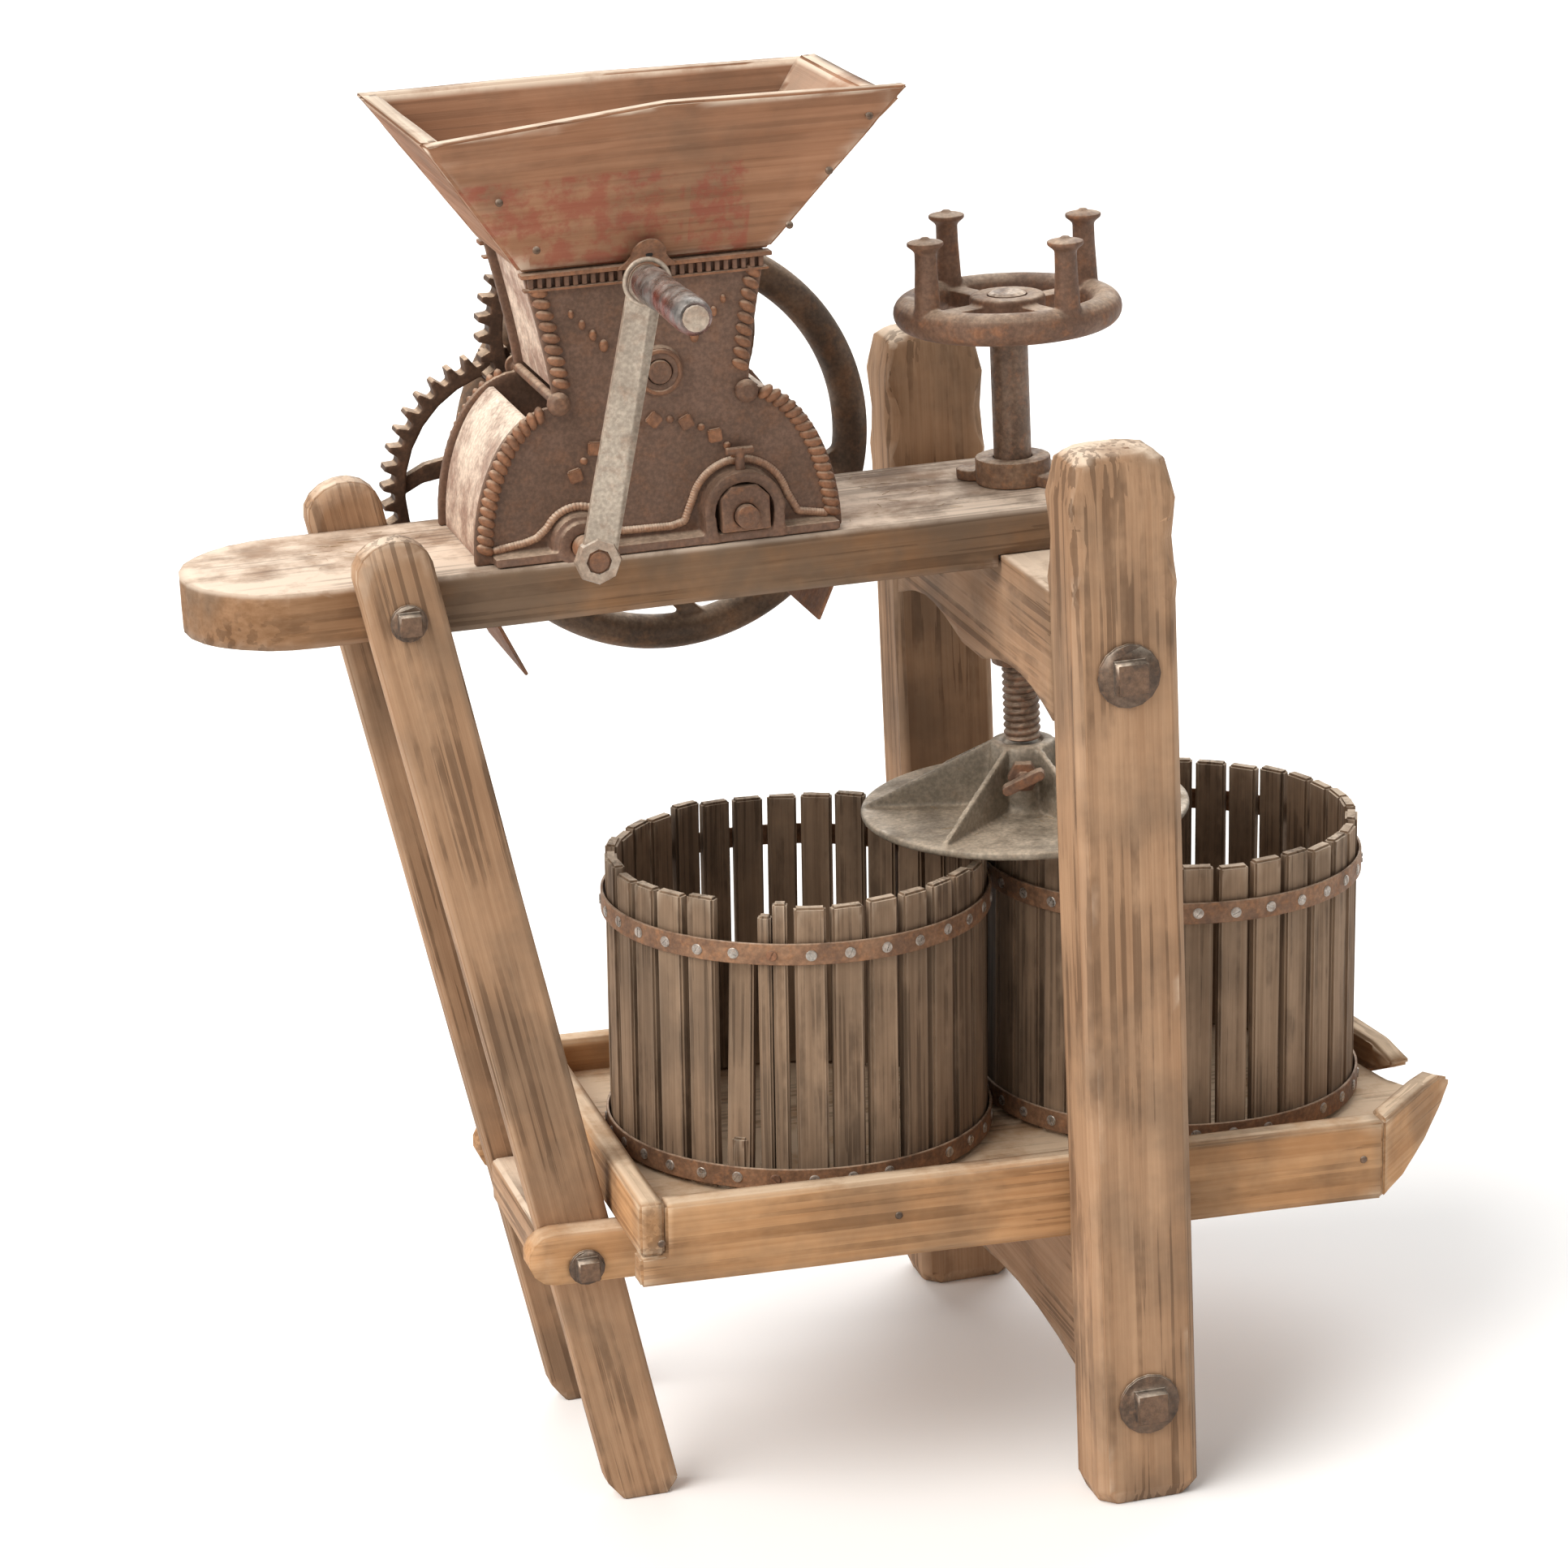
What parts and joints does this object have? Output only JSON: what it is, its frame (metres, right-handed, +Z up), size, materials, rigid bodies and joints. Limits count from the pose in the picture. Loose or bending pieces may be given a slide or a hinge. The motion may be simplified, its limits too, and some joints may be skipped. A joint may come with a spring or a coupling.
{
  "type": "apple cider press",
  "caption": "Hand-cranked double-tub apple cider press: wooden hopper and geared iron mill, screw press, slatted tubs on a spouted tray.",
  "frame": {"origin": "centre of the object's footprint box, on the floor", "axes": "+X along the plank from its rounded end towards the posts and the tray's spout, +Y from the crank side to the flywheel side, +Z up"},
  "size_m": [1.1249, 0.6346, 1.267],
  "materials": {
    "frame_wood": "weathered bare hardwood, grey-tan, cracked and stained",
    "tray_wood": "weathered bare softwood, orange-brown",
    "hopper_wood": "old varnished boards, brown, dusty edges",
    "slat_wood": "dark weathered slats",
    "painted_iron": "worn dark paint over cast iron, dusty",
    "rusty_iron": "dry brown rust",
    "plate_iron": "dusty grey-green iron",
    "galvanised_steel": "dull galvanised steel with rust specks",
    "grip_paint": "worn black paint"
  },
  "bodies": {
    "frame": {"bearing_block_back": "rusty_iron", "bearing_block_front": "rusty_iron", "cheek_back": "painted_iron", "cheek_front": "painted_iron", "chute_plate_left": "rusty_iron", "chute_plate_right": "rusty_iron", "cross_bar": "frame_wood", "crosshead": "frame_wood", "drum_shell_left": "painted_iron", "drum_shell_right": "painted_iron", "hopper_board_back": "hopper_wood", "hopper_board_front": "hopper_wood", "hopper_board_left": "hopper_wood", "hopper_board_right": "hopper_wood", "leg_back": "frame_wood", "leg_bolt_back": "rusty_iron", "leg_bolt_front": "rusty_iron", "leg_front": "frame_wood", "lower_nut": "rusty_iron", "lower_stretcher": "frame_wood", "plank": "frame_wood", "post_back": "frame_wood", "post_bolt_lower_back": "rusty_iron", "post_bolt_lower_front": "rusty_iron", "post_bolt_upper_back": "rusty_iron", "post_bolt_upper_front": "rusty_iron", "post_front": "frame_wood", "rail_back": "tray_wood", "rail_bolt_back": "rusty_iron", "rail_bolt_front": "rusty_iron", "rail_front": "tray_wood", "screw_nut": "rusty_iron", "spout_board_back": "tray_wood", "spout_board_front": "tray_wood", "throat_shell_left": "painted_iron", "throat_shell_right": "painted_iron", "tie_rod_left": "rusty_iron", "tie_rod_right": "rusty_iron", "tray_end": "tray_wood", "tray_floor": "tray_wood", "tray_side_back": "tray_wood", "tray_side_front": "tray_wood"},
    "flywheel_train": {"flywheel": "rusty_iron", "grinding_cylinder": "rusty_iron"},
    "feed_train": {"feed_roller": "rusty_iron", "roller_wheel": "painted_iron"},
    "crank_train": {"crank_shaft": "rusty_iron", "crank_wheel": "painted_iron", "crank_arm": "galvanised_steel"},
    "grip": {"crank_grip": "grip_paint"},
    "press_plate": {"press_plate": "plate_iron"},
    "press_screw": {"press_screw": "rusty_iron", "handwheel": "rusty_iron"},
    "thumb_screw": {"thumb_screw": "rusty_iron"},
    "tub_left": {"tub_slats_left": "slat_wood", "tub_hoop_top_left": "rusty_iron", "tub_hoop_bottom_left": "rusty_iron"},
    "tub_right": {"tub_slats_right": "slat_wood", "tub_hoop_top_right": "rusty_iron", "tub_hoop_bottom_right": "rusty_iron"}
  },
  "joints": [
    {"name": "flywheel_spin", "type": "hinge", "parent": "frame", "child": "flywheel_train", "pos_m": [-0.082, 0, 0.895], "axis": [0, 1, 0], "continuous": true},
    {"name": "roller_spin", "type": "hinge", "parent": "frame", "child": "feed_train", "pos_m": [-0.14738, 0, 1.0251], "axis": [0, 1, 0], "continuous": true},
    {"name": "crank_turn", "type": "hinge", "parent": "frame", "child": "crank_train", "pos_m": [-0.226, 0, 0.883], "axis": [0, 1, 0], "continuous": true},
    {"name": "grip_spin", "type": "hinge", "parent": "crank_train", "child": "grip", "pos_m": [-0.16992, -0.2, 1.11841], "axis": [0, 1, 0], "continuous": true},
    {"name": "plate_lift", "type": "slide", "parent": "frame", "child": "press_plate", "axis": [0, 0, 1], "range_m": [0, 0.06]},
    {"name": "screw_turn", "type": "hinge", "parent": "press_plate", "child": "press_screw", "pos_m": [0.1935, 0, 0.8], "axis": [0, 0, 1], "range_deg": [0, 3270]},
    {"name": "thumb_turn", "type": "hinge", "parent": "press_plate", "child": "thumb_screw", "pos_m": [0.17805, -0.04755, 0.607], "axis": [-0.309, -0.9511, 0], "continuous": true},
    {"name": "tub_left_slide", "type": "slide", "parent": "frame", "child": "tub_left", "axis": [0.9995, 0, -0.0332], "range_m": [-0.007, 0]},
    {"name": "tub_right_slide", "type": "slide", "parent": "frame", "child": "tub_right", "axis": [0.9995, 0, -0.0332], "range_m": [0, 0.01]}
  ],
  "couplings": [
    {"joint": "roller_spin", "follows": "flywheel_spin", "ratio": -0.3},
    {"joint": "crank_turn", "follows": "flywheel_spin", "ratio": 0.095455},
    {"joint": "plate_lift", "follows": "screw_turn", "m_per_rad": 0.0010504}
  ]
}
